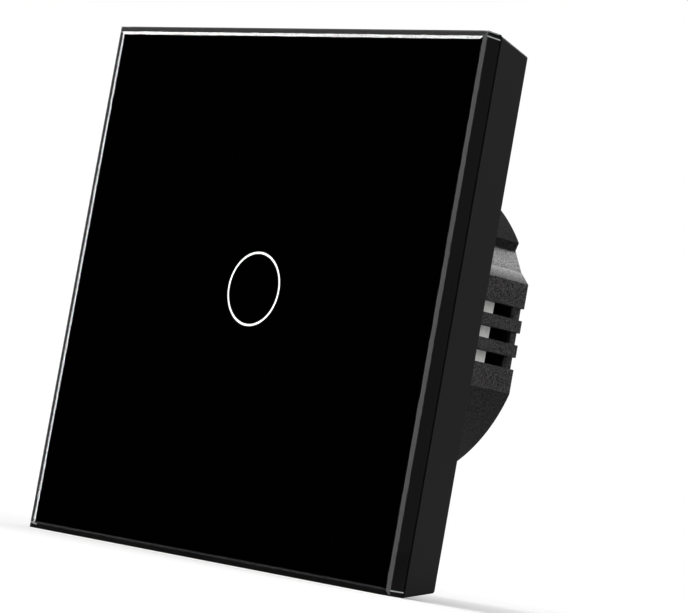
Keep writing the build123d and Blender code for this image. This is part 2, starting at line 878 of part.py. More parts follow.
# Fuse: a glass tube between two metal caps, lying across the board
with BuildPart() as fuse:
    fuse_y = power_board_back + fuse_lift + fuse_radius + fuse_cap_wall
    with BuildSketch(Plane.YZ.offset(fuse_x - fuse_length / 2)):
        with Locations((fuse_y, fuse_z)):
            Circle(fuse_radius)
    extrude(amount=fuse_length)
    for start in (fuse_x - fuse_length / 2, fuse_x + fuse_length / 2 - fuse_cap):
        with BuildSketch(Plane.YZ.offset(start)):
            with Locations((fuse_y, fuse_z)):
                Circle(fuse_radius + fuse_cap_wall)
        extrude(amount=fuse_cap)

# Varistor: a lacquered disc that stands on its edge
with BuildPart() as varistor:
    with BuildSketch(Plane.XY.offset(varistor_z - varistor_width / 2)):
        with Locations((varistor_x, power_board_back + varistor_lift + varistor_radius)):
            Circle(varistor_radius)
    extrude(amount=varistor_width)

# Transformer: a double-E core, and a bobbin with its winding round the middle leg
core_back_y = power_board_back + core_height
leg_front, leg_back = power_board_back + core_side, core_back_y - core_side
with BuildPart() as transformer_core:
    box_between(
        (transformer_x - core_length / 2, power_board_back, -core_width / 2),
        (transformer_x + core_length / 2, core_back_y, core_width / 2),
    )
    for side in (1, -1):
        reaches = core_leg / 2, core_length / 2 - core_side
        low, high = sorted(transformer_x + side * reach for reach in reaches)
        box_between((low, leg_front, -core_width), (high, leg_back, core_width), mode=Mode.SUBTRACT)


def leg_sleeve(grow, front, back, mode=Mode.ADD):
    """Adds or cuts a block round the transformer's middle leg, larger than it by this much all round."""
    reach_x, reach_z = core_leg / 2 + grow, core_width / 2 + grow
    box_between((transformer_x - reach_x, front, -reach_z), (transformer_x + reach_x, back, reach_z), mode)


tube_grow = transformer_fit + transformer_wall
flange_grow = tube_grow + transformer_flange_reach
with BuildPart() as transformer_bobbin:
    leg_sleeve(tube_grow, leg_front, leg_back)
    leg_sleeve(flange_grow, leg_front, leg_front + transformer_wall)
    leg_sleeve(flange_grow, leg_back - transformer_wall, leg_back)
    leg_sleeve(transformer_fit, leg_front, leg_back, Mode.SUBTRACT)

with BuildPart() as transformer_winding:
    leg_sleeve(flange_grow - transformer_wall, leg_front + transformer_wall, leg_back - transformer_wall)
    fillet(transformer_winding.edges().filter_by(Axis.Y), transformer_wall)
    leg_sleeve(tube_grow, leg_front, leg_back, Mode.SUBTRACT)

# Radio receiver: an upright board with a shield on one face and a wound antenna sleeve along its edge
radio_back = power_board_back + radio_height
with BuildPart() as radio_board:
    box_between(
        (-radio_length / 2, power_board_back, radio_z - radio_thickness / 2),
        (radio_length / 2, radio_back, radio_z + radio_thickness / 2),
    )

with BuildPart() as radio_shield:
    shield_front = power_board_back + (radio_height - shield_height) / 2
    shield_top = radio_z - radio_thickness / 2
    box_between(
        (-shield_length / 2, shield_front, shield_top - shield_thickness),
        (shield_length / 2, shield_front + shield_height, shield_top),
    )
    fillet(radio_shield.edges().filter_by(Axis.Z), shield_thickness / 4)

with BuildPart() as antenna_coil:
    with BuildSketch(Plane.YZ.offset(-antenna_length / 2)):
        with Locations((radio_back + antenna_radius, radio_z)):
            Circle(antenna_radius)
            Circle(antenna_bore, mode=Mode.SUBTRACT)
    extrude(amount=antenna_length)

# Terminal block: two chambers for the rising cages, with wire entries below and screw bores behind
with BuildPart() as terminal_block:
    box_between((-block_width / 2, block_front, block_bottom), (block_width / 2, block_back, block_top))
    for x in terminal_sides:
        reach = cage_width / 2 + cage_clearance
        box_between(
            (x - reach, chamber_front, chamber_bottom),
            (x + reach, chamber_back, chamber_top),
            mode=Mode.SUBTRACT,
        )
        reach = bar_width / 2 + bar_gap
        box_between(
            (x - reach, block_front - overrun, bar_top - bar_thickness - bar_gap),
            (x + reach, chamber_front + overrun, chamber_top),
            mode=Mode.SUBTRACT,
        )
        with BuildSketch(Plane.XY.offset(block_bottom)):
            with Locations((x, wire_depth)):
                Circle(wire_radius)
        extrude(amount=chamber_bottom - block_bottom, mode=Mode.SUBTRACT)
        with BuildSketch(across(block_back)):
            with Locations((x, terminal_z)):
                Circle(screw_head_radius + screw_head_clearance)
        extrude(amount=block_back - collar_back, mode=Mode.SUBTRACT)
        with BuildSketch(across(collar_back)):
            with Locations((x, terminal_z)):
                Circle(screw_radius + screw_head_clearance)
        extrude(amount=collar_height, mode=Mode.SUBTRACT)

# Contact bars: each runs through a cage, then turns forwards to the power board
with BuildPart() as contact_bars:
    for x in terminal_sides:
        with BuildSketch(Plane.YZ.offset(x - bar_width / 2)):
            with BuildLine():
                FilletPolyline(
                    (power_board_back, bar_top - bar_thickness / 2),
                    (bar_back - bar_thickness / 2, bar_top - bar_thickness / 2),
                    (bar_back - bar_thickness / 2, cage_bottom),
                    radius=bar_thickness,
                )
            trace(line_width=bar_thickness)
        extrude(amount=bar_width)


def rising_cage(x):
    """Adds the block that the cage of the terminal at this x is made from."""
    half = cage_width / 2
    box_between((x - half, cage_front, cage_bottom), (x + half, cage_back, cage_top))


def cage_opening(x):
    """Cuts the cage's hole for the screw, and the way through it for the wire and the contact bar."""
    inner = cage_width / 2 - cage_wall
    box_between(
        (x - inner, cage_inside, cage_bottom - overrun),
        (x + inner, cage_back - cage_nut, cage_top + overrun),
        mode=Mode.SUBTRACT,
    )
    hole_radius = screw_radius + screw_clearance
    hole_front, hole_back = cage_back - cage_nut - overrun, cage_back + overrun
    rod_between(x, terminal_z, hole_front, hole_back, hole_radius, Mode.SUBTRACT)


def terminal_screw(x):
    """Adds the slotted screw of the terminal at this x. Its shank ends just behind the contact bar."""
    rod_between(x, terminal_z, head_front, head_back, screw_head_radius)
    rod_between(x, terminal_z, bar_back + screw_clearance, head_front, screw_radius)
    slot_reach, half_slot = screw_head_radius + overrun, screw_slot_width / 2
    box_between(
        (x - slot_reach, head_back - screw_slot_depth, terminal_z - half_slot),
        (x + slot_reach, head_back + overrun, terminal_z + half_slot),
        mode=Mode.SUBTRACT,
    )


live_x, load_x = terminal_sides
with BuildPart() as live_cage:
    rising_cage(live_x)
    fillet(live_cage.edges().filter_by(Axis.Z), cage_corner)
    cage_opening(live_x)

with BuildPart() as load_cage:
    rising_cage(load_x)
    fillet(load_cage.edges().filter_by(Axis.Z), cage_corner)
    cage_opening(load_x)

with BuildPart() as live_screw:
    terminal_screw(live_x)

with BuildPart() as load_screw:
    terminal_screw(load_x)

pieces = {
    "glass_panel": glass_panel,
    "back_print": back_print,
    "indicator_ring": indicator_ring,
    "panel_tape": panel_tape,
    "panel_frame": panel_frame,
    "base_plate": base_plate,
    "rear_housing": rear_housing,
    "housing_screws": housing_screws,
    "touch_board": touch_board,
    "board_screws": board_screws,
    "light_guide": light_guide,
    "status_lamps": status_lamps,
    "touch_spring": touch_spring,
    "touch_chip": touch_chip,
    "link_pins": link_pins,
    "link_socket": link_socket,
    "power_board": power_board,
    "relay_base": relay_base,
    "relay_cover": relay_cover,
    "relay_yoke": relay_yoke,
    "relay_core": relay_core,
    "relay_bobbin": relay_bobbin,
    "relay_winding": relay_winding,
    "relay_armature": relay_armature,
    "contact_blade": contact_blade,
    "fixed_contact": fixed_contact,
    "filter_capacitor": filter_capacitor,
    "output_capacitor": output_capacitor,
    "film_capacitor": film_capacitor,
    "bridge_rectifier": bridge_rectifier,
    "fuse": fuse,
    "varistor": varistor,
    "transformer_core": transformer_core,
    "transformer_bobbin": transformer_bobbin,
    "transformer_winding": transformer_winding,
    "radio_board": radio_board,
    "radio_shield": radio_shield,
    "antenna_coil": antenna_coil,
    "terminal_block": terminal_block,
    "contact_bars": contact_bars,
    "live_cage": live_cage,
    "load_cage": load_cage,
    "live_screw": live_screw,
    "load_screw": load_screw,
}
for name, piece in pieces.items():
    piece.part.label = name
    export_step(piece.part, f"parts/{name}.step")
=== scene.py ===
"""Touch light switch, dressed for the render: a black glass panel with a white ring, standing on edge."""

import bmesh
import bpy
import numpy as np
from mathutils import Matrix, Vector


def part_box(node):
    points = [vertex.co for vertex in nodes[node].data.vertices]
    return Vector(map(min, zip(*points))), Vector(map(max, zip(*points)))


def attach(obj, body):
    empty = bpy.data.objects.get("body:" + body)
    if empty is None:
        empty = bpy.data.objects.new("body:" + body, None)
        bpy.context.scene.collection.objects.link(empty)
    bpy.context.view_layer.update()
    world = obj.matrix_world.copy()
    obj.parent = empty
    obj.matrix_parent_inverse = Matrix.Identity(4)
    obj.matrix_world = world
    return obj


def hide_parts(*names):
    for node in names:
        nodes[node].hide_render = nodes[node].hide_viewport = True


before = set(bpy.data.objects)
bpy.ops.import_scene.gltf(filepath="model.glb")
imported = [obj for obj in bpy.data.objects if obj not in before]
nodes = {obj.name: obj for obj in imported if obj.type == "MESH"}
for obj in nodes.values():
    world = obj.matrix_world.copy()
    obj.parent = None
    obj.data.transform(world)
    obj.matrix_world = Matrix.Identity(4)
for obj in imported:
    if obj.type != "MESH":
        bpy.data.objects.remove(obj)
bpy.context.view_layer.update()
mm = 0.001

# Glass panel
# A square of float glass, ground along its front edge to a bevel with a finer facet inside it, then
# polished. It is clear right through: what looks black is the print on its back, and only the facets catch
# the lights.


def linear(code):
    """An sRGB hex colour turned to linear light, with full alpha."""
    shares = np.array([int(code[i : i + 2], 16) for i in (1, 3, 5)]) / 255
    flat = np.where(shares <= 0.04045, shares / 12.92, ((shares + 0.055) / 1.055) ** 2.4)
    return (*flat.tolist(), 1.0)


def add_node(tree, kind, inputs=None, **settings):
    """Adds one node: settings are its own choices, and each input is a plain value or a socket to link."""
    made = tree.nodes.new(kind)
    for name, value in settings.items():
        setattr(made, name, value)
    for name, value in (inputs or {}).items():
        if isinstance(value, bpy.types.NodeSocket):
            tree.links.new(value, made.inputs[name])
        else:
            made.inputs[name].default_value = value
    return made


def start_material(name, plain):
    """A new material with one shader, whose plain socket values are given. Returns the material, its tree,
    the shader and the socket that gives the place on the piece."""
    material = bpy.data.materials.new(name)
    material.use_nodes = True
    tree = material.node_tree
    tree.nodes.clear()
    shader = add_node(tree, "ShaderNodeBsdfPrincipled", plain, name="shader")
    add_node(tree, "ShaderNodeOutputMaterial", {"Surface": shader.outputs["BSDF"]}, name="output")
    place = add_node(tree, "ShaderNodeTexCoord", name="place").outputs["Object"]
    return material, tree, shader, place


def finish_nodes(material, *names):
    """Gives these CAD nodes the material in all their slots."""
    for name in names:
        slots = nodes[name].material_slots
        for slot in slots:
            slot.material = material
        if not slots:
            nodes[name].data.materials.append(material)


# Polished float glass: clear, with the faintest green, and next to no roughness, so the facets mirror the
# soft boxes. Polishing leaves clouds in which the surface is a trace less smooth.
cloud_width = 8 * mm
float_glass, tree, shader, place = start_material(
    "polished_float_glass", {"IOR": 1.52, "Transmission Weight": 1.0}
)
clouds = add_node(tree, "ShaderNodeTexNoise", {"Vector": place, "Scale": 1 / cloud_width, "Detail": 2.0})
tinge = add_node(
    tree,
    "ShaderNodeMix",
    {"Factor": clouds.outputs["Fac"], "A": linear("#FBFFFD"), "B": linear("#FFFFFF")},
    data_type="RGBA",
)
haze = add_node(
    tree, "ShaderNodeMapRange", {"Value": clouds.outputs["Fac"], "To Min": 0.01, "To Max": 0.02}
)
tree.links.new(tinge.outputs["Result"], shader.inputs["Base Color"])
tree.links.new(haze.outputs["Result"], shader.inputs["Roughness"])
finish_nodes(float_glass, "glass_panel")

# Black ink on the back of the glass
# Screen-printed ceramic ink, baked on, so there is no air between it and the glass. It is open in one
# round line. The sheet reaches a hair into the glass, because the ink has wetted it and nothing mirrors in
# between.
ink_reach = 0.02 * mm
ink_margin = 0.01 * mm
ring_line = 0.35 * mm
ink_low, ink_high = (np.array(corner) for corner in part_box("back_print"))
ring_low, ring_high = (np.array(corner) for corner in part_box("indicator_ring"))
ring_outer = (ring_high[0] - ring_low[0]) / 2
ring_inner = ring_outer - ring_line
ink_front = ink_low[1] - ink_reach
ink_back = ink_high[1]


def grid_mesh(name, points, closed_u=True, closed_v=True):
    """A piece from grids of points (grids, rows, columns, xyz): one four-sided face between each four
    neighbours. A row or column that is all one point is welded into a pole, and the faces are turned
    outwards."""
    weld = 0.0005 * mm
    grids, rows, columns = points.shape[:3]
    u = np.arange(rows if closed_u else rows - 1)
    v = np.arange(columns if closed_v else columns - 1)
    grid, u, v = (axis.ravel() for axis in np.meshgrid(np.arange(grids), u, v, indexing="ij"))
    u_next, v_next = (u + 1) % rows, (v + 1) % columns
    around = ((u, v), (u_next, v), (u_next, v_next), (u, v_next))
    corners = np.stack([(grid * rows + row) * columns + column for row, column in around], 1)
    mesh = bpy.data.meshes.new(name)
    mesh.from_pydata(points.reshape(-1, 3).tolist(), [], corners.tolist())
    shape = bmesh.new()
    shape.from_mesh(mesh)
    bmesh.ops.remove_doubles(shape, verts=shape.verts, dist=weld)
    bmesh.ops.recalc_face_normals(shape, faces=shape.faces)
    shape.to_mesh(mesh)
    shape.free()
    piece = bpy.data.objects.new(name, mesh)
    bpy.context.scene.collection.objects.link(piece)
    return piece


# The points go round from a corner of the square, so that its four corners are among them.
round_steps = 192
round_angle = np.linspace(0, 2 * np.pi, round_steps + 1)[:-1] + np.pi / 4
round_way = np.stack([np.cos(round_angle), np.sin(round_angle)], 1)


def carried_round(inner, outer, front, back):
    """Points of a flat ring: a four-cornered section, whose inner and outer reach may change with the angle,
    is carried once round the axis through the origin. An inner reach of 0 makes it a whole plate."""
    reach = np.stack(np.broadcast_arrays(inner, outer, outer, inner), -1)
    reach = np.broadcast_to(reach, (round_steps, 4))
    flat = round_way[:, None, :] * reach[..., None]
    depth = np.broadcast_to([front, front, back, back], reach.shape)
    return np.stack([flat[..., 0], depth, flat[..., 1]], -1)


# The sheet's outer reach follows a square: the half width over the larger of sine and cosine. The square's
# middle is a little below the ring's.
square_reach = (ink_high[0] - ink_margin) / np.abs(round_way).max(1)
sheet = carried_round(ring_outer, square_reach, ink_front, ink_back)
sheet[:, 1:3, 2] += (ink_low[2] + ink_high[2]) / 2
middle_disc = carried_round(0.0, ring_inner, ink_front, ink_back)
black_print = grid_mesh("black_print_sheet", np.stack([sheet, middle_disc]))
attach(black_print, "panel")
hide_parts("back_print")

# Baked ink: a matt black with the faint blotches of a screen print. It has no gloss of its own, since it
# wets the glass.
blotch_width = 2.5 * mm
ink, tree, shader, place = start_material("baked_black_ink", {"Roughness": 0.9, "Specular IOR Level": 0.0})
mottle = add_node(tree, "ShaderNodeTexNoise", {"Vector": place, "Scale": 1 / blotch_width, "Detail": 3.0})
shade = add_node(
    tree,
    "ShaderNodeMix",
    {"Factor": mottle.outputs["Fac"], "A": linear("#010101"), "B": linear("#030303")},
    data_type="RGBA",
)
tree.links.new(shade.outputs["Result"], shader.inputs["Base Color"])
black_print.data.materials.append(ink)

# Ground lines across the glass's edge
# Where the wheel ground the bevels it leaves a fine frosted line across each polished side, as far from both
# its ends as the bevel is wide. The lines lie a hair under the surface, and give off a faint painted glow.
bevel_width, bevel_depth = 0.84 * mm, 0.12 * mm
arris_width, arris_depth = 0.5 * mm, 0.03 * mm
glass_low, glass_high = (np.array(corner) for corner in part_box("glass_panel"))
glass_middle = (glass_low + glass_high) / 2
glass_half = (glass_high[0] - glass_low[0]) / 2
line_width = 0.17 * mm
line_depth = 0.03 * mm
line_cover = 0.01 * mm
bevel_back = glass_low[1] + bevel_depth + arris_depth

# Each line is a flat four-cornered section, carried straight from the bevel to the print and closed by a
# pole at both ends. It lies outwards on each of the four sides, and sideways towards both their ends.
quarter = np.arange(4) * np.pi / 2
outwards = np.stack([np.cos(quarter), np.sin(quarter)], 1)[:, None, None, :]
sideways = np.stack([-np.sin(quarter), np.cos(quarter)], 1)[:, None, None, :]
line_end = np.array([-1.0, 1.0])[None, :, None, None] * (glass_half - bevel_width)
corner_out = np.array([0.0, 0.0, -1.0, -1.0])[None, None, :, None] * line_depth + glass_half - line_cover
corner_side = np.array([-0.5, 0.5, 0.5, -0.5])[None, None, :, None] * line_width
section = (outwards * corner_out + sideways * (line_end + corner_side)).reshape(-1, 4, 2)
pole = np.broadcast_to(section.mean(1, keepdims=True), section.shape)
line_rows = np.stack([pole, section, section, pole], 1)
line_y = np.array([bevel_back, bevel_back, glass_high[1], glass_high[1]])
line_y = np.broadcast_to(line_y[None, :, None], line_rows.shape[:3])
line_points = np.stack([line_rows[..., 0], line_y, line_rows[..., 1] + glass_middle[2]], -1)
ground_lines = grid_mesh("ground_lines", line_points, closed_u=False)
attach(ground_lines, "panel")

# Ground glass: a frosted pale grey with no gloss, in which the marks of the grit run together in patches,
# with a faint painted glow on top.
patch_width = 0.2 * mm
ground_glass, tree, shader, place = start_material(
    "ground_glass_line_painted_glow",
    {
        "Roughness": 0.8,
        "Specular IOR Level": 0.0,
        "Emission Color": linear("#F2F4F3"),
        "Emission Strength": 0.25,
    },
)
grit = add_node(tree, "ShaderNodeTexNoise", {"Vector": place, "Scale": 1 / patch_width, "Detail": 2.0})
frost = add_node(
    tree,
    "ShaderNodeMix",
    {"Factor": grit.outputs["Fac"], "A": linear("#9EA1A0"), "B": linear("#BABDBC")},
    data_type="RGBA",
)
tree.links.new(frost.outputs["Result"], shader.inputs["Base Color"])
ground_lines.data.materials.append(ground_glass)

# White ring in the ink
# The open line in the black ink is filled with white translucent ink, in a second pass of the screen. The
# status lamps and the light guide stand behind it, but its brightness is a painted glow in the ink.
white_ring = grid_mesh("white_ring_print", carried_round(ring_inner, ring_outer, ink_front, ink_back)[None])
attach(white_ring, "panel")
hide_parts("indicator_ring")

# White ink: the screen leaves it a little uneven, and a painted glow evens it out again.
pass_width = 0.4 * mm
white_ink, tree, shader, place = start_material(
    "white_ink_painted_glow",
    {
        "Roughness": 0.6,
        "Specular IOR Level": 0.0,
        "Emission Color": linear("#F4F4F2"),
        "Emission Strength": 1.1,
    },
)
passes = add_node(tree, "ShaderNodeTexNoise", {"Vector": place, "Scale": 1 / pass_width, "Detail": 2.0})
cover = add_node(
    tree,
    "ShaderNodeMix",
    {"Factor": passes.outputs["Fac"], "A": linear("#DCDCD8"), "B": linear("#F2F2F0")},
    data_type="RGBA",
)
tree.links.new(cover.outputs["Result"], shader.inputs["Base Color"])
white_ring.data.materials.append(white_ink)

# Tape and panel frame
# The frame is a tapered tray, injection moulded in black ABS with a fine satin texture, and a strip of black
# foam tape holds the glass to it. The texture hides finger marks and gives the side a soft, even grey.


def moulded_plastic(name, dark, light, roughness, grain, depth, spread=0.08):
    """Moulded plastic with an eroded grain: noise at the grain's size in metres moves the colour between
    two shades, the roughness by the spread, and the surface by the depth in metres."""
    speck_low, speck_high = 0.38, 0.62
    material, tree, shader, place = start_material(name, {"IOR": 1.5})
    noise = add_node(
        tree, "ShaderNodeTexNoise", {"Vector": place, "Scale": 1 / grain, "Detail": 3.0, "Roughness": 0.6}
    )
    speck = add_node(
        tree,
        "ShaderNodeMapRange",
        {"Value": noise.outputs["Fac"], "From Min": speck_low, "From Max": speck_high},
        name="speck",
    )
    colour = add_node(
        tree,
        "ShaderNodeMix",
        {"Factor": speck.outputs["Result"], "A": linear(dark), "B": linear(light)},
        data_type="RGBA",
        name="colour",
    )
    dull = add_node(
        tree,
        "ShaderNodeMapRange",
        {"Value": noise.outputs["Fac"], "To Min": roughness - spread, "To Max": roughness + spread},
        name="dull",
    )
    bump = add_node(
        tree, "ShaderNodeBump", {"Height": noise.outputs["Fac"], "Distance": depth, "Strength": 1.0}
    )
    tree.links.new(colour.outputs["Result"], shader.inputs["Base Color"])
    tree.links.new(dull.outputs["Result"], shader.inputs["Roughness"])
    tree.links.new(bump.outputs["Normal"], shader.inputs["Normal"])
    return material


# Satin ABS, moulded against a lightly blasted steel: an even near black with hardly any grain to see.
satin_abs = moulded_plastic("satin_black_abs", "#0D0D0E", "#111112", 0.55, 0.35 * mm, 0.004 * mm)
finish_nodes(satin_abs, "panel_frame")

# Acrylic foam, cut from a roll: dead matt, with open cells at its cut edge.
foam_tape = moulded_plastic("black_foam_tape", "#2A2A2A", "#3A3A3A", 0.95, 0.25 * mm, 0.03 * mm)
finish_nodes(foam_tape, "panel_tape")

# Base plate and rear housing
# Both are injection moulded in black flame-retardant plastic. The mould was spark eroded, which leaves a
# coarse sparkling grain, and the housing goes into the wall box, so nobody polished it. The plate's grain is
# an even dark grey, and the housing's is pale specks on black.
plate_plastic = moulded_plastic("eroded_black_plate", "#202022", "#303032", 0.55, 0.4 * mm, 0.02 * mm)
finish_nodes(plate_plastic, "base_plate")
housing_plastic = moulded_plastic(
    "eroded_black_housing", "#111112", "#474546", 0.6, 0.26 * mm, 0.05 * mm, spread=0.12
)
finish_nodes(housing_plastic, "rear_housing")

# The mould's inserts for the flats and reliefs were eroded with other electrodes than its round wall: the
# reliefs are the smoothest and catch the light, and the flats sparkle. The round wall above and below is
# painted darker. The undercut below the upper wall has the wall's finish and its darker colour, which there
# is painted shade, and the inside is painted nearly black as painted shade.
flat_end, relief_foot, relief_end = 9.0 * mm, 11.5 * mm, 14.7 * mm
undercut = 0.8 * mm
relief_start = 5.0 * mm
blend_width = 0.1 * mm
floor_depth = 1.2 * mm
inner_reach, outer_reach = 23.3 * mm, 23.9 * mm
flat_sheen, relief_sheen = 0.15, 1.0
least_glint, most_glint = 0.3, 1.3
dull_top_share, smooth_share = 0.1, 0.65
housing_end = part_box("rear_housing")[1].y
tree = housing_plastic.node_tree
shader = tree.nodes["shader"]
place = tree.nodes["place"].outputs["Object"]
axes = add_node(tree, "ShaderNodeSeparateXYZ", {"Vector": place})

# Each share goes from 0 to 1 between two places along one of the housing's axes.
places = {
    "above_flat": ("Z", flat_end - blend_width, relief_foot),
    "below_lip": ("Z", relief_end - undercut / 2, relief_end - undercut),
    "past_start": ("Y", relief_start - blend_width, relief_start),
    "before_end": ("Y", housing_end - blend_width, housing_end - 2 * blend_width),
    "before_floor": ("Y", housing_end - floor_depth, housing_end - floor_depth - 2 * blend_width),
    "upper_wall": ("Z", relief_end - undercut, relief_end - undercut / 2),
    "lower_wall": ("Z", blend_width - flat_end, -flat_end),
}
share = {}
for name, (axis, start, end) in places.items():
    step = add_node(
        tree, "ShaderNodeMapRange", {"Value": axes.outputs[axis], "From Min": start, "From Max": end}
    )
    share[name] = step.outputs["Result"]

# A place is in the relief, on the round wall or inside where all of its shares are 1: their product. Inside
# is nearer to the axis than the middle of the wall.
across_axis = add_node(tree, "ShaderNodeVectorMath", {0: place, 1: (1.0, 0.0, 1.0)}, operation="MULTIPLY")
from_axis = add_node(
    tree, "ShaderNodeVectorMath", {0: across_axis.outputs["Vector"]}, operation="LENGTH"
)
near_axis = add_node(
    tree,
    "ShaderNodeMapRange",
    {"Value": from_axis.outputs["Value"], "From Min": outer_reach, "From Max": inner_reach},
)
either_wall = add_node(
    tree, "ShaderNodeMath", {0: share["upper_wall"], 1: share["lower_wall"]}, operation="ADD"
)
glint = add_node(
    tree,
    "ShaderNodeMapRange",
    {"Value": tree.nodes["speck"].outputs["Result"], "To Min": least_glint, "To Max": most_glint},
)
factors = {
    "in_relief": [share[name] for name in ("above_flat", "below_lip", "past_start", "before_end")],
    "on_wall": [either_wall.outputs["Value"], share["before_end"]],
    "inside": [near_axis.outputs["Result"], share["before_floor"]],
}
mask = {}
for name, (product, *others) in factors.items():
    for other in others:
        times = add_node(tree, "ShaderNodeMath", {0: product, 1: other}, operation="MULTIPLY")
        product = times.outputs["Value"]
    mask[name] = product

# The relief's gloss sparkles with the grain, and the upper wall has next to none.
sparkle = add_node(
    tree, "ShaderNodeMath", {0: mask["in_relief"], 1: glint.outputs["Result"]}, operation="MULTIPLY"
)
sheen = add_node(
    tree,
    "ShaderNodeMapRange",
    {"Value": sparkle.outputs["Value"], "To Min": flat_sheen, "To Max": relief_sheen},
)
dull_top = add_node(
    tree, "ShaderNodeMapRange", {"Value": share["upper_wall"], "To Min": 1.0, "To Max": dull_top_share}
)
gloss = add_node(
    tree, "ShaderNodeMath", {0: sheen.outputs["Result"], 1: dull_top.outputs["Result"]}, operation="MULTIPLY"
)
tree.links.new(gloss.outputs["Value"], shader.inputs["Specular IOR Level"])
smooth = add_node(
    tree, "ShaderNodeMapRange", {"Value": mask["in_relief"], "To Min": 1.0, "To Max": smooth_share}
)
coarse = tree.nodes["dull"].outputs["Result"]
rough = add_node(tree, "ShaderNodeMath", {0: coarse, 1: smooth.outputs["Result"]}, operation="MULTIPLY")
tree.links.new(rough.outputs["Value"], shader.inputs["Roughness"])

# The round wall has the same grain in a darker grey, which in the undercut is painted shade, and the inside
# is painted nearly black as painted shade, so it shows hardly any grain.
wall_and_undercut_shade = add_node(
    tree,
    "ShaderNodeMix",
    {"Factor": mask["on_wall"], "A": tree.nodes["colour"].outputs["Result"], "B": linear("#B0B0B2")},
    data_type="RGBA",
    blend_type="MULTIPLY",
)
inside_painted_shade = add_node(
    tree,
    "ShaderNodeMix",
    {"Factor": mask["inside"], "A": wall_and_undercut_shade.outputs["Result"], "B": linear("#050505")},
    data_type="RGBA",
)
tree.links.new(inside_painted_shade.outputs["Result"], shader.inputs["Base Color"])

# Screws
# Cold-headed steel, zinc plated and passivated. Two draw the housing onto the base plate, two hold the
# touch board, and one turns in each terminal.


def plated_metal(name, dark, light, roughness, cloud, scratch_depth=0.002 * mm):
    """Plated or rolled metal: noise at the cloud's size in metres moves the colour between two shades and
    the roughness a little, and a finer noise lifts the surface by the scratch depth in metres."""
    finer = 8
    spread = 0.08
    material, tree, shader, place = start_material(name, {"Metallic": 1.0})
    noise = add_node(tree, "ShaderNodeTexNoise", {"Vector": place, "Scale": 1 / cloud, "Detail": 4.0})
    fine = add_node(tree, "ShaderNodeTexNoise", {"Vector": place, "Scale": finer / cloud, "Detail": 2.0})
    colour = add_node(
        tree,
        "ShaderNodeMix",
        {"Factor": noise.outputs["Fac"], "A": linear(dark), "B": linear(light)},
        data_type="RGBA",
    )
    dull = add_node(
        tree,
        "ShaderNodeMapRange",
        {"Value": noise.outputs["Fac"], "To Min": roughness - spread, "To Max": roughness + spread},
    )
    bump = add_node(
        tree, "ShaderNodeBump", {"Height": fine.outputs["Fac"], "Distance": scratch_depth, "Strength": 1.0}
    )
    tree.links.new(colour.outputs["Result"], shader.inputs["Base Color"])
    tree.links.new(dull.outputs["Result"], shader.inputs["Roughness"])
    tree.links.new(bump.outputs["Normal"], shader.inputs["Normal"])
    return material


# Zinc plate: a bright bluish grey with a slight cloudiness.
zinc = plated_metal("zinc_plated_steel", "#B4B8BC", "#D4D6D4", 0.32, 1.2 * mm)
finish_nodes(zinc, "housing_screws", "board_screws", "live_screw", "load_screw")

# Circuit boards
# Glass-fibre laminate with etched copper tracks under green solder mask: the touch board behind the glass,
# the power board in the housing, and the small radio board that stands on it.


def solder_mask(name, mask, track, gap):
    """Circuit board: the borders between square-cut cells of this size in metres make tracks that run
    straight and turn at right angles, and wider cells leave a small dot at each middle, for the vias."""
    via_gap = gap / 0.7
    mask_rise = 0.03 * mm
    track_edge, track_end = 0.10, 0.14
    dot_edge, dot_end = 0.12, 0.15
    material, tree, shader, place = start_material(name, {"Roughness": 0.28, "IOR": 1.55})
    nearest, second = (
        add_node(
            tree,
            "ShaderNodeTexVoronoi",
            {"Vector": place, "Scale": 1 / gap, "Randomness": 0.9},
            feature=feature,
            distance="CHEBYCHEV",
        ).outputs["Distance"]
        for feature in ("F1", "F2")
    )
    border = add_node(tree, "ShaderNodeMath", {0: second, 1: nearest}, operation="SUBTRACT")
    line = add_node(
        tree,
        "ShaderNodeMapRange",
        {"Value": border.outputs["Value"], "From Min": track_end, "From Max": track_edge},
    )
    via = add_node(tree, "ShaderNodeTexVoronoi", {"Vector": place, "Scale": 1 / via_gap, "Randomness": 1.0})
    dot = add_node(
        tree,
        "ShaderNodeMapRange",
        {"Value": via.outputs["Distance"], "From Min": dot_end, "From Max": dot_edge},
    )
    pattern = add_node(
        tree, "ShaderNodeMath", {0: line.outputs["Result"], 1: dot.outputs["Result"]}, operation="MAXIMUM"
    )
    colour = add_node(
        tree,
        "ShaderNodeMix",
        {"Factor": pattern.outputs["Value"], "A": linear(mask), "B": linear(track)},
        data_type="RGBA",
    )
    bump = add_node(
        tree, "ShaderNodeBump", {"Height": pattern.outputs["Value"], "Distance": mask_rise, "Strength": 1.0}
    )
    tree.links.new(colour.outputs["Result"], shader.inputs["Base Color"])
    tree.links.new(bump.outputs["Normal"], shader.inputs["Normal"])
    return material


# Solder mask: glossy green, in which the tracks show as paler lines that stand a little higher.
green_mask = solder_mask("green_solder_mask", "#0F4A2A", "#2C7A48", 2.2 * mm)
finish_nodes(green_mask, "touch_board", "power_board", "radio_board")

# Light guide, lamps and chips
# The guide is moulded in clear polycarbonate and stands on the touch board over the lamps, which are cast
# in resin. The chips are moulded in black epoxy, and soldered by tinned legs.

# Frosted polycarbonate is milky, so that the lamps behind it run together into one even light.
frost_grain = 0.25 * mm
frosted, tree, shader, place = start_material(
    "frosted_polycarbonate", {"Roughness": 0.45, "IOR": 1.58, "Transmission Weight": 0.6}
)
frost = add_node(tree, "ShaderNodeTexNoise", {"Vector": place, "Scale": 1 / frost_grain, "Detail": 2.0})
haze = add_node(
    tree,
    "ShaderNodeMix",
    {"Factor": frost.outputs["Fac"], "A": linear("#E4E8EA"), "B": linear("#F6F8F8")},
    data_type="RGBA",
)
tree.links.new(haze.outputs["Result"], shader.inputs["Base Color"])
finish_nodes(frosted, "light_guide")

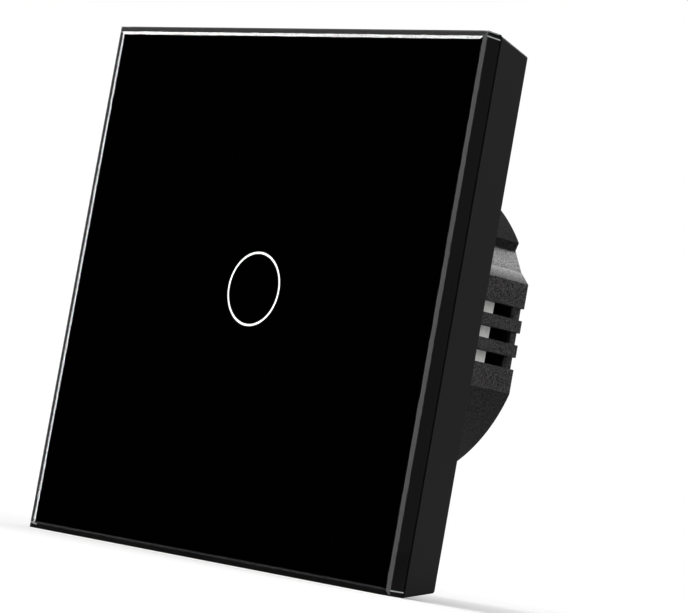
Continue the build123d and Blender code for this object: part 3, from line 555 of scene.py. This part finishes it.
# Cast resin is smooth and yellowish, and moulded epoxy is a dull black with a fine grain.
lamp_resin = moulded_plastic("lamp_resin", "#E7D77A", "#F2E9A8", 0.3, 0.3 * mm, 0.002 * mm)
finish_nodes(lamp_resin, "status_lamps")
chip_epoxy = moulded_plastic("chip_epoxy", "#151515", "#242424", 0.55, 0.15 * mm, 0.004 * mm)
finish_nodes(chip_epoxy, "touch_chip", "bridge_rectifier")

# Contacts and touch spring
# The contact bars and the relay's contacts are stamped from rolled brass, and the pins are cut from drawn
# brass. The spring is wound from brass wire and soldered to the touch board, to which it brings the finger's
# touch.

# Brass: a warm yellow, a little clouded where it has been touched.
brass = plated_metal("rolled_brass", "#B08A4A", "#D2AE6A", 0.3, 1.5 * mm)
finish_nodes(brass, "contact_bars", "contact_blade", "fixed_contact", "link_pins")

# The spring's wire follows a helix round the y axis, inside the sleeve that stands for it in the frame. Its
# section is a circle, carried along by the radial and the axial direction, and shrinks to a pole at both
# ends.
wire_radius = 0.24 * mm
wire_sides = 12
spring_turns = 4.0
spring_points_along = 193
spring_low, spring_high = (np.array(corner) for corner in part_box("touch_spring"))
spring_middle = (spring_low + spring_high) / 2
coil_radius = (spring_high[0] - spring_low[0]) / 2 - wire_radius
along = np.linspace(0, 1, spring_points_along)
turned = 2 * np.pi * spring_turns * along
radial = np.stack([np.cos(turned), np.zeros_like(turned), np.sin(turned)], 1)
rise = np.stack([np.zeros_like(along), along, np.zeros_like(along)], 1)
travel = spring_high[1] - spring_low[1] - 2 * wire_radius
wire_start = np.array([spring_middle[0], spring_low[1] + wire_radius, spring_middle[2]])
wire_line = wire_start + coil_radius * radial + travel * rise
wire_line = np.concatenate([wire_line[:1], wire_line, wire_line[-1:]])
radial = np.concatenate([radial[:1], radial, radial[-1:]])
wire_reach = np.full(len(wire_line), wire_radius)
wire_reach[[0, -1]] = 0.0
round_section = np.linspace(0, 2 * np.pi, wire_sides + 1)[:-1]
out_part = wire_reach[:, None, None] * np.cos(round_section)[None, :, None] * radial[:, None, :]
axial_part = wire_reach[:, None, None] * np.sin(round_section)[None, :, None] * np.array([0.0, 1.0, 0.0])
spring_points = wire_line[:, None, :] + out_part + axial_part
touch_spring = grid_mesh("touch_spring_wire", spring_points[None], closed_u=False)
touch_spring.data.shade_smooth()
touch_spring.data.materials.append(brass)
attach(touch_spring, "base")
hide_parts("touch_spring")

# Relay
# The cover is moulded in light grey PBT, and snaps onto a base of glass-filled nylon. Inside are soft iron
# parts, staked together, and a nylon bobbin wound with enamelled copper wire.

# Light grey PBT: the palest thing in the housing, which shows as a row of squares through the vents.
relay_case = moulded_plastic("light_grey_pbt", "#E6E6E3", "#F2F2EF", 0.5, 0.5 * mm, 0.008 * mm)
finish_nodes(relay_case, "relay_cover")

# Glass-filled nylon, also of the socket that joins the boards, is a dull black in which the fibres leave a
# grain. Plain nylon is a milky buff.
socket_plastic = moulded_plastic("glass_filled_nylon", "#161616", "#232323", 0.6, 0.3 * mm, 0.01 * mm)
finish_nodes(socket_plastic, "link_socket", "relay_base")
nylon = moulded_plastic("natural_nylon", "#CFC9BA", "#DDD8CB", 0.5, 0.4 * mm, 0.006 * mm)
finish_nodes(nylon, "relay_bobbin", "transformer_bobbin")

# Nickel plate gives the stamped iron a warm, slightly cloudy grey.
iron = plated_metal("nickel_plated_iron", "#A6A39E", "#C4C1BA", 0.35, 1.0 * mm)
finish_nodes(iron, "relay_yoke", "relay_core", "relay_armature")


def wound_wire(name, dark, light, metallic, across, pitch):
    """A winding: one band of light and dark to each turn along the named axis, at the pitch in metres. A
    wave texture at scale 1 repeats after the plain pitch."""
    plain_pitch = 0.314
    material, tree, shader, place = start_material(name, {"Roughness": 0.3, "Metallic": metallic})
    turns = add_node(
        tree,
        "ShaderNodeTexWave",
        {"Vector": place, "Scale": plain_pitch / pitch, "Distortion": 0.4, "Detail Scale": 2.0},
        bands_direction=across,
    )
    colour = add_node(
        tree,
        "ShaderNodeMix",
        {"Factor": turns.outputs["Fac"], "A": linear(dark), "B": linear(light)},
        data_type="RGBA",
    )
    bump = add_node(
        tree, "ShaderNodeBump", {"Height": turns.outputs["Fac"], "Distance": pitch / 2, "Strength": 1.0}
    )
    tree.links.new(colour.outputs["Result"], shader.inputs["Base Color"])
    tree.links.new(bump.outputs["Normal"], shader.inputs["Normal"])
    return material


# Enamelled copper: red-brown and glossy, with a dark line between the turns.
coil_wire = wound_wire("enamelled_copper_wire", "#7A3B1C", "#C26A3A", 0.9, "Y", 0.25 * mm)
finish_nodes(coil_wire, "relay_winding")

# Supply parts
# Electrolytic capacitors in shrunk sleeves, a boxed film capacitor, a lacquered varistor, a glass fuse with
# plated caps, and a ferrite transformer wrapped in yellow tape, all soldered to the power board.

# The sleeve is a smooth blue-black, the film capacitor's case a satin yellow, the lacquer a wet-looking
# blue, and the fuse's plated caps a bright grey.
sleeve = moulded_plastic("shrunk_sleeve", "#141A2A", "#1B2336", 0.35, 0.8 * mm, 0.004 * mm)
finish_nodes(sleeve, "filter_capacitor", "output_capacitor")
film_case = moulded_plastic("yellow_pbt_case", "#B8961E", "#CBA92E", 0.45, 0.5 * mm, 0.006 * mm)
finish_nodes(film_case, "film_capacitor")
lacquer = moulded_plastic("blue_lacquer", "#123A74", "#1B4A8C", 0.3, 0.6 * mm, 0.01 * mm)
finish_nodes(lacquer, "varistor")
fuse_body = plated_metal("fuse_caps_and_tube", "#B9BCBE", "#D8DAD8", 0.25, 1.0 * mm)
finish_nodes(fuse_body, "fuse")

# Ferrite is pressed, fired and ground, which leaves a dark grey with a fine grain. The polyester tape over
# the winding shows one soft edge to each turn.
ferrite = moulded_plastic("ground_ferrite", "#2A2A2C", "#3A3A3D", 0.5, 0.2 * mm, 0.006 * mm)
finish_nodes(ferrite, "transformer_core")
polyester = wound_wire("yellow_polyester_tape", "#B9952A", "#D6B23C", 0.0, "Y", 1.9 * mm)
finish_nodes(polyester, "transformer_winding")

# Radio receiver
# A tinned steel shield is soldered over the receiver, and its antenna is a coil of thicker copper wire along
# the board's edge. Tin is a soft white grey, and each turn of the coil shows.
tin = plated_metal("tinned_steel", "#B6B8B8", "#D0D2D0", 0.3, 1.5 * mm)
finish_nodes(tin, "radio_shield")
antenna_wire = wound_wire("antenna_copper_wire", "#8A4522", "#CE7442", 0.9, "X", 0.6 * mm)
finish_nodes(antenna_wire, "antenna_coil")

# Terminals
# The block is moulded in dark grey nylon. Each cage is folded from zinc-plated steel strip and has a tapped
# floor, through which the screw draws it against the wire.

# The nylon is a satin dark grey, and the strip's passivation gives its zinc a faint yellow.
terminal_nylon = moulded_plastic("dark_grey_nylon", "#2E2E30", "#3B3B3D", 0.5, 0.4 * mm, 0.012 * mm)
finish_nodes(terminal_nylon, "terminal_block")
cage_steel = plated_metal("yellow_zinc_strip", "#B7AC8C", "#CFC6A8", 0.35, 0.8 * mm)
finish_nodes(cage_steel, "live_cage", "load_cage")

# Floor
# A plain pale sweep of painted board under the panel's lower edge, on which the switch stands. Seen by the
# camera it is white, and it keeps the shadow.
floor_reach = 4.0
floor_height = min(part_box("panel_frame")[0].z, glass_low[2])
reach = np.linspace(-floor_reach, floor_reach, 3)
floor_x, floor_y = np.meshgrid(reach, reach, indexing="ij")
floor_points = np.stack([floor_x, floor_y, np.full_like(floor_x, floor_height)], -1)
floor = grid_mesh("floor", floor_points[None], closed_u=False, closed_v=False)

# Matt white paint with the faint marks of a roller. For the camera a little light is added, more of it far
# off where the lamps don't reach, so that it is paper white where no shadow falls.
roller_width = 10 * mm / 3
near_lift, far_lift = 0.16, 0.45
near_reach, far_reach = 0.15, 0.6
floor_paint, tree, shader, place = start_material(
    "white_floor_paint",
    {"Roughness": 0.9, "Specular IOR Level": 0.0, "Emission Color": linear("#FFFFFF")},
)
roller = add_node(tree, "ShaderNodeTexNoise", {"Vector": place, "Scale": 1 / roller_width})
paint = add_node(
    tree,
    "ShaderNodeMix",
    {"Factor": roller.outputs["Fac"], "A": linear("#F2F2F2"), "B": linear("#F5F5F5")},
    data_type="RGBA",
)
tree.links.new(paint.outputs["Result"], shader.inputs["Base Color"])
seen = add_node(tree, "ShaderNodeLightPath")
away = add_node(tree, "ShaderNodeVectorMath", {0: place}, operation="LENGTH")
farther = add_node(
    tree,
    "ShaderNodeMapRange",
    {
        "Value": away.outputs["Value"],
        "From Min": near_reach,
        "From Max": far_reach,
        "To Min": near_lift,
        "To Max": far_lift,
    },
)
lift = add_node(
    tree,
    "ShaderNodeMath",
    {0: seen.outputs["Is Camera Ray"], 1: farther.outputs["Result"]},
    operation="MULTIPLY",
)
tree.links.new(lift.outputs["Value"], shader.inputs["Emission Strength"])

# What mirrors the floor sees a painted reflection instead. From the panel backwards it is grey, a painted
# shadow, with a round white patch on it, a painted highlight that brightens the terminal screws. Before the
# grey lies a strip of bare floor, which the lower facet picks up. Farther forward it sees nothing, so that
# the glass stays black and the soft boxes reach its corners.
strip_front, strip_back = -20.0 * mm, -18.0 * mm
reflected_shade_front, reflected_shade_back = -15.5 * mm, -13.5 * mm
reflected_highlight_y, reflected_highlight_inner, reflected_highlight_outer = 90.0 * mm, 70.0 * mm, 90.0 * mm
depth = add_node(tree, "ShaderNodeSeparateXYZ", {"Vector": place}).outputs["Y"]
strip_end = add_node(
    tree, "ShaderNodeMapRange", {"Value": depth, "From Min": strip_front, "From Max": strip_back}
)
reflected_shade_start = add_node(
    tree, "ShaderNodeMapRange", {"Value": depth, "From Min": reflected_shade_front, "From Max": reflected_shade_back}
)
reflected_shade_tone = add_node(
    tree,
    "ShaderNodeMix",
    {"Factor": reflected_shade_start.outputs["Result"], "A": linear("#F2F2F2"), "B": linear("#6A6A6A")},
    data_type="RGBA",
)
from_middle = add_node(
    tree, "ShaderNodeVectorMath", {0: place, 1: (0.0, reflected_highlight_y, floor_height)}, operation="DISTANCE"
)
on_reflected_highlight = add_node(
    tree,
    "ShaderNodeMapRange",
    {"Value": from_middle.outputs["Value"], "From Min": reflected_highlight_outer, "From Max": reflected_highlight_inner},
)
painted_reflection_colour = add_node(
    tree,
    "ShaderNodeMix",
    {"Factor": on_reflected_highlight.outputs["Result"], "A": reflected_shade_tone.outputs["Result"], "B": linear("#F2F2F2")},
    data_type="RGBA",
)
# Mirrors see this diffuse in place of the floor: a painted reflection, grey as painted shadow, with a white
# painted highlight.
card = add_node(tree, "ShaderNodeBsdfDiffuse", {"Color": painted_reflection_colour.outputs["Result"]})
open_front = add_node(tree, "ShaderNodeBsdfTransparent")
painted_mirrored_floor = add_node(
    tree,
    "ShaderNodeMixShader",
    {"Fac": strip_end.outputs["Result"], 1: open_front.outputs["BSDF"], 2: card.outputs["BSDF"]},
)
choice = add_node(
    tree,
    "ShaderNodeMixShader",
    {"Fac": seen.outputs["Is Glossy Ray"], 1: shader.outputs["BSDF"], 2: painted_mirrored_floor.outputs["Shader"]},
)
tree.links.new(choice.outputs["Shader"], tree.nodes["output"].inputs["Surface"])
floor.data.materials.append(floor_paint)

# Camera
# The photo's angle, worked out from the panel's four corners: right of the panel, level with its lower edge,
# and tipped a little, which makes the panel lean as it does there.
lens = bpy.data.cameras.new("camera")
lens.sensor_width = 36.0
lens.lens = 166.29
camera = bpy.data.objects.new("camera", lens)
bpy.context.scene.collection.objects.link(camera)
camera.location = (0.37429, -0.34908, -0.03672)
camera.rotation_euler = np.radians((94.1959, -10.0617, 45.409)).tolist()
bpy.context.scene.camera = camera
bpy.context.scene.view_settings.view_transform = "Standard"

# Light
# A white studio: even light from all round for what is dull, near darkness with a glow overhead and behind
# for what mirrors, and narrow soft boxes that draw the bright lines along the glass's polished facets.
dull_level, seen_level = 0.7, 1.0
overhead_level, overhead_start, overhead_full = 0.9, 0.4, 0.8
behind_level, behind_start, behind_full = 0.14, -0.15, 0.15
back_left_factor, back_left_start, back_left_full = 5.0, -0.15, -0.45
world = bpy.data.worlds.new("white_studio")
bpy.context.scene.world = world
world.use_nodes = True
tree = world.node_tree
tree.nodes.clear()
direction = add_node(tree, "ShaderNodeTexCoord")
split = add_node(tree, "ShaderNodeSeparateXYZ", {"Vector": direction.outputs["Generated"]})
overhead = add_node(
    tree,
    "ShaderNodeMapRange",
    {
        "Value": split.outputs["Z"],
        "From Min": overhead_start,
        "From Max": overhead_full,
        "To Max": overhead_level,
    },
)
behind = add_node(
    tree,
    "ShaderNodeMapRange",
    {
        "Value": split.outputs["Y"],
        "From Min": behind_start,
        "From Max": behind_full,
        "To Max": behind_level,
    },
)
back_left = add_node(
    tree,
    "ShaderNodeMapRange",
    {
        "Value": split.outputs["X"],
        "From Min": back_left_start,
        "From Max": back_left_full,
        "To Min": 1.0,
        "To Max": back_left_factor,
    },
)
all_behind = add_node(
    tree,
    "ShaderNodeMath",
    {0: behind.outputs["Result"], 1: back_left.outputs["Result"]},
    operation="MULTIPLY",
)
brightest = add_node(
    tree,
    "ShaderNodeMath",
    {0: overhead.outputs["Result"], 1: all_behind.outputs["Value"]},
    operation="MAXIMUM",
)
path = add_node(tree, "ShaderNodeLightPath")
looked_at = add_node(
    tree,
    "ShaderNodeMath",
    {0: path.outputs["Is Camera Ray"], 1: path.outputs["Is Transmission Ray"]},
    operation="MAXIMUM",
)
level = add_node(
    tree,
    "ShaderNodeMapRange",
    {"Value": looked_at.outputs["Value"], "To Min": dull_level, "To Max": seen_level},
)
plain, mirrored = (
    add_node(tree, "ShaderNodeBackground", {"Color": linear("#FFFFFF"), "Strength": strength})
    for strength in (level.outputs["Result"], brightest.outputs["Value"])
)
mix = add_node(
    tree,
    "ShaderNodeMixShader",
    {
        "Fac": path.outputs["Is Glossy Ray"],
        1: plain.outputs["Background"],
        2: mirrored.outputs["Background"],
    },
)
add_node(tree, "ShaderNodeOutputWorld", {"Surface": mix.outputs["Shader"]})


def soft_box(name, place, aim, size, radiance, only_mirrored=True):
    """A rectangular lamp at this place, facing the aim. One that is only mirrored lights nothing dull."""
    lamp = bpy.data.lights.new(name, "AREA")
    lamp.shape = "RECTANGLE"
    lamp.size, lamp.size_y = size
    lamp.energy = radiance * 4 * size[0] * size[1]
    piece = bpy.data.objects.new(name, lamp)
    bpy.context.scene.collection.objects.link(piece)
    piece.location = place
    piece.rotation_euler = (Vector(place) - Vector(aim)).to_track_quat("Z", "Y").to_euler()
    piece.visible_camera = False
    piece.visible_diffuse = not only_mirrored
    piece.visible_glossy = only_mirrored


arris_tilt = np.arctan2(arris_depth, arris_width)
bevel_tilt = np.arctan2(bevel_depth, bevel_width)


def facet_box(name, eye, way, tilt, size, radiance):
    """A soft box where the facet along one edge of the glass mirrors it to the eye. The way points from the
    panel's middle to that edge, and the tilt turns the facet's face from the front towards it."""
    distance = 1.2
    way = np.array(way)
    edge = glass_middle + way * (glass_high - glass_low) / 2
    edge[1] = glass_low[1]
    normal = np.sin(tilt) * way + np.array((0.0, -np.cos(tilt), 0.0))
    sight = edge - np.array(eye)
    sight /= np.linalg.norm(sight)
    mirrored_sight = sight - 2 * sight.dot(normal) * normal
    soft_box(name, (edge + distance * mirrored_sight).tolist(), edge.tolist(), size, radiance)


# These draw the lines that the camera sees: white along the finer facet on the left and above, and grey
# elsewhere.
middle = (0.0, 0.0, 0.0)
left, right, upper = (-1.0, 0.0, 0.0), (1.0, 0.0, 0.0), (0.0, 0.0, 1.0)
facet_box("left_arris_box", camera.location, left, arris_tilt, (0.11, 0.46), 7.5)
facet_box("left_bevel_box", camera.location, left, bevel_tilt, (0.14, 0.46), 0.4)
facet_box("upper_arris_box", camera.location, upper, arris_tilt, (0.36, 0.11), 12.0)
facet_box("upper_bevel_box", camera.location, upper, bevel_tilt, (0.36, 0.14), 0.55)
facet_box("right_bevel_box", camera.location, right, bevel_tilt, (0.14, 0.46), 1.45)

# Six more draw such lines for an eye straight in front, where the first ones aren't mirrored.
straight_on = (0.0, -0.5, 0.0)
for side, way, size in (
    ("left", left, (0.1, 0.4)),
    ("right", right, (0.1, 0.4)),
    ("upper", upper, (0.4, 0.1)),
):
    facet_box("front_" + side + "_arris_box", straight_on, way, arris_tilt, size, 5.0)
    facet_box("front_" + side + "_bevel_box", straight_on, way, bevel_tilt, size, 0.9)

# One is mirrored by the housing's reliefs, and two light what is dull.
soft_box("housing_top_box", (0.0, 0.86, 0.84), middle, (0.5, 0.5), 5.5)
soft_box("key_box", (-0.3, -0.8, 0.6), middle, (0.4, 0.4), 6.0, only_mirrored=False)
soft_box("side_fill_box", (0.85, -0.55, 0.25), middle, (0.4, 0.4), 5.0, only_mirrored=False)
